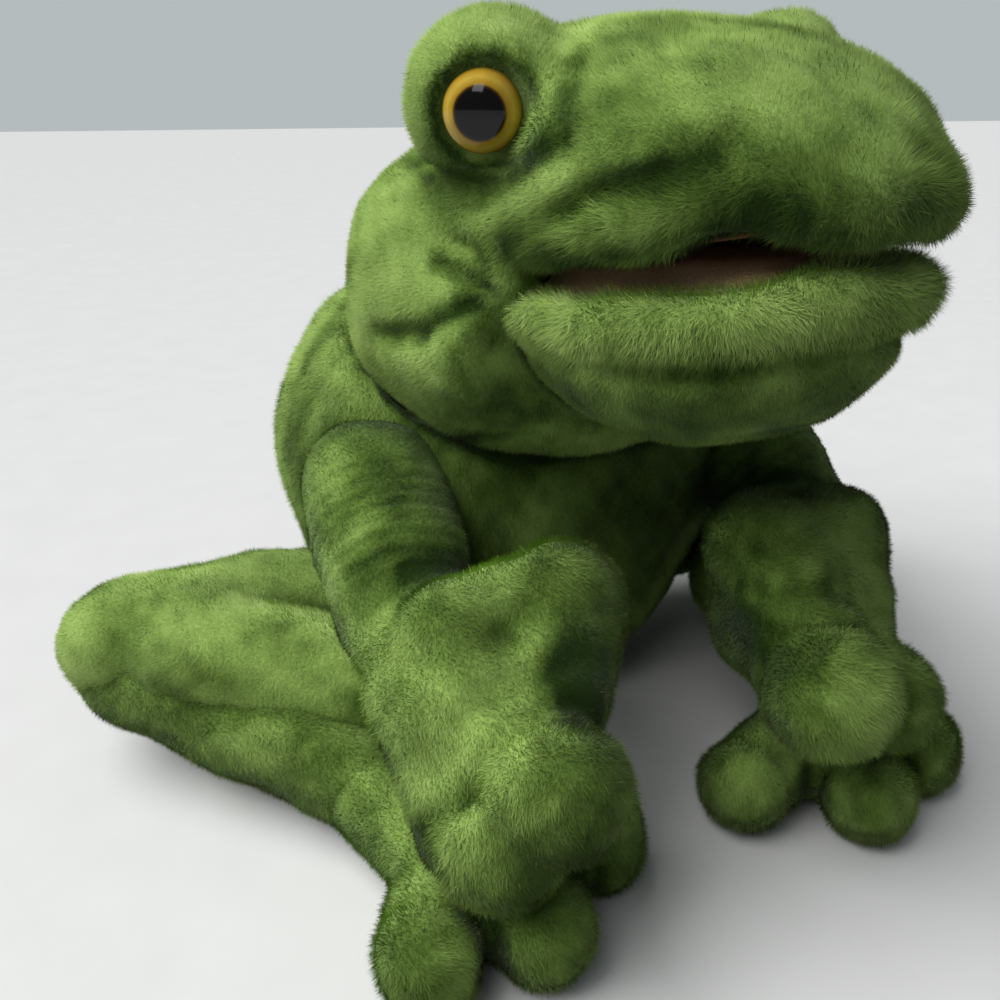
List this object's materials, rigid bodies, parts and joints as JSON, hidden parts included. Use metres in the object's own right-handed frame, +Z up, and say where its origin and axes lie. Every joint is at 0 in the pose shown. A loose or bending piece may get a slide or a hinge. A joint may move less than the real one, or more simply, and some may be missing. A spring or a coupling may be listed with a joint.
{
  "type": "frog hand puppet",
  "caption": "Plush frog hand puppet sitting with folded legs; hand entry in the back, opening mouth, glossy eyes on bumps and soft jointed limbs.",
  "frame": {"origin": "middle of the seat's rest face, on the floor", "axes": "+Z up, the frog faces -Y and its left side is +X"},
  "size_m": [0.3432, 0.248, 0.2459],
  "materials": {
    "plush": "soft short-pile plush, yellow-green tips over darker green",
    "sleeve_lining": "plain woven lining",
    "palate_board": "stiff card",
    "mouth_roof": "short velvet, reddish brown",
    "mouth_floor": "short velvet, tan",
    "eye": "clear amber dome over a black pupil",
    "eye_washer": "moulded"
  },
  "bodies": {
    "torso": {"seat_cushion": "plush", "belly_panel": "plush", "back_panel": "plush", "hand_sleeve": "sleeve_lining", "entry_hem": "plush"},
    "neck": {"neck_collar": "sleeve_lining"},
    "head": {"head_shell": "plush", "eye_bump_right": "plush", "eye_bump_left": "plush", "eye_right": "eye", "eye_left": "eye", "eye_washer_right": "eye_washer", "eye_washer_left": "eye_washer", "upper_palate_board": "palate_board", "upper_mouth_lining": "mouth_roof", "finger_pocket": "sleeve_lining"},
    "jaw": {"lower_jaw": "plush", "lower_palate_board": "palate_board", "lower_mouth_lining": "mouth_floor", "thumb_pocket": "sleeve_lining"},
    "arm_right": {"upper_arm_right": "plush"},
    "hand_right": {"forearm_hand_right": "plush"},
    "thigh_right": {"thigh_right": "plush"},
    "shin_right": {"shin_right": "plush"},
    "foot_right": {"foot_right": "plush"},
    "arm_left": {"upper_arm_left": "plush"},
    "hand_left": {"forearm_hand_left": "plush"},
    "thigh_left": {"thigh_left": "plush"},
    "shin_left": {"shin_left": "plush"},
    "foot_left": {"foot_left": "plush"}
  },
  "joints": [
    {"name": "neck_yaw", "type": "hinge", "parent": "torso", "child": "neck", "pos_m": [0, -0.05, 0.168], "axis": [0, 0, 1], "range_deg": [-14, 14], "stiffness_Nm_per_rad": 1.5},
    {"name": "neck_pitch", "type": "hinge", "parent": "neck", "child": "head", "pos_m": [0, -0.05, 0.168], "axis": [-1, 0, 0], "range_deg": [-6, 14], "stiffness_Nm_per_rad": 3},
    {"name": "jaw_open", "type": "hinge", "parent": "head", "child": "jaw", "pos_m": [0, -0.096, 0.158], "axis": [1, 0, 0], "range_deg": [-3, 30], "stiffness_Nm_per_rad": 1.2},
    {"name": "shoulder_right", "type": "hinge", "parent": "torso", "child": "arm_right", "pos_m": [-0.073, -0.04, 0.106], "axis": [-0.2873, 0, -0.9578], "range_deg": [0, 40], "stiffness_Nm_per_rad": 0.6},
    {"name": "elbow_right", "type": "hinge", "parent": "arm_right", "child": "hand_right", "pos_m": [-0.078, -0.08, 0.08], "axis": [0, 0, -1], "range_deg": [-5, 35], "stiffness_Nm_per_rad": 0.5},
    {"name": "hip_right", "type": "hinge", "parent": "torso", "child": "thigh_right", "pos_m": [-0.072, 0.002, 0.044], "axis": [0, 0, -1], "range_deg": [0, 25], "stiffness_Nm_per_rad": 1},
    {"name": "knee_right", "type": "hinge", "parent": "thigh_right", "child": "shin_right", "pos_m": [-0.148, 0.004, 0.044], "axis": [0, 0, -1], "range_deg": [0, 40], "stiffness_Nm_per_rad": 0.6},
    {"name": "ankle_right", "type": "hinge", "parent": "shin_right", "child": "foot_right", "pos_m": [-0.09, -0.08, 0.02], "axis": [0, 0, -1], "range_deg": [-12, 15], "stiffness_Nm_per_rad": 0.4},
    {"name": "shoulder_left", "type": "hinge", "parent": "torso", "child": "arm_left", "pos_m": [0.073, -0.04, 0.106], "axis": [-0.2873, 0, 0.9578], "range_deg": [0, 40], "stiffness_Nm_per_rad": 0.6},
    {"name": "elbow_left", "type": "hinge", "parent": "arm_left", "child": "hand_left", "pos_m": [0.078, -0.08, 0.08], "axis": [0, 0, 1], "range_deg": [-5, 35], "stiffness_Nm_per_rad": 0.5},
    {"name": "hip_left", "type": "hinge", "parent": "torso", "child": "thigh_left", "pos_m": [0.072, 0.002, 0.044], "axis": [0, 0, 1], "range_deg": [0, 25], "stiffness_Nm_per_rad": 1},
    {"name": "knee_left", "type": "hinge", "parent": "thigh_left", "child": "shin_left", "pos_m": [0.148, 0.004, 0.044], "axis": [0, 0, 1], "range_deg": [0, 40], "stiffness_Nm_per_rad": 0.6},
    {"name": "ankle_left", "type": "hinge", "parent": "shin_left", "child": "foot_left", "pos_m": [0.09, -0.08, 0.02], "axis": [0, 0, 1], "range_deg": [-12, 15], "stiffness_Nm_per_rad": 0.4}
  ]
}
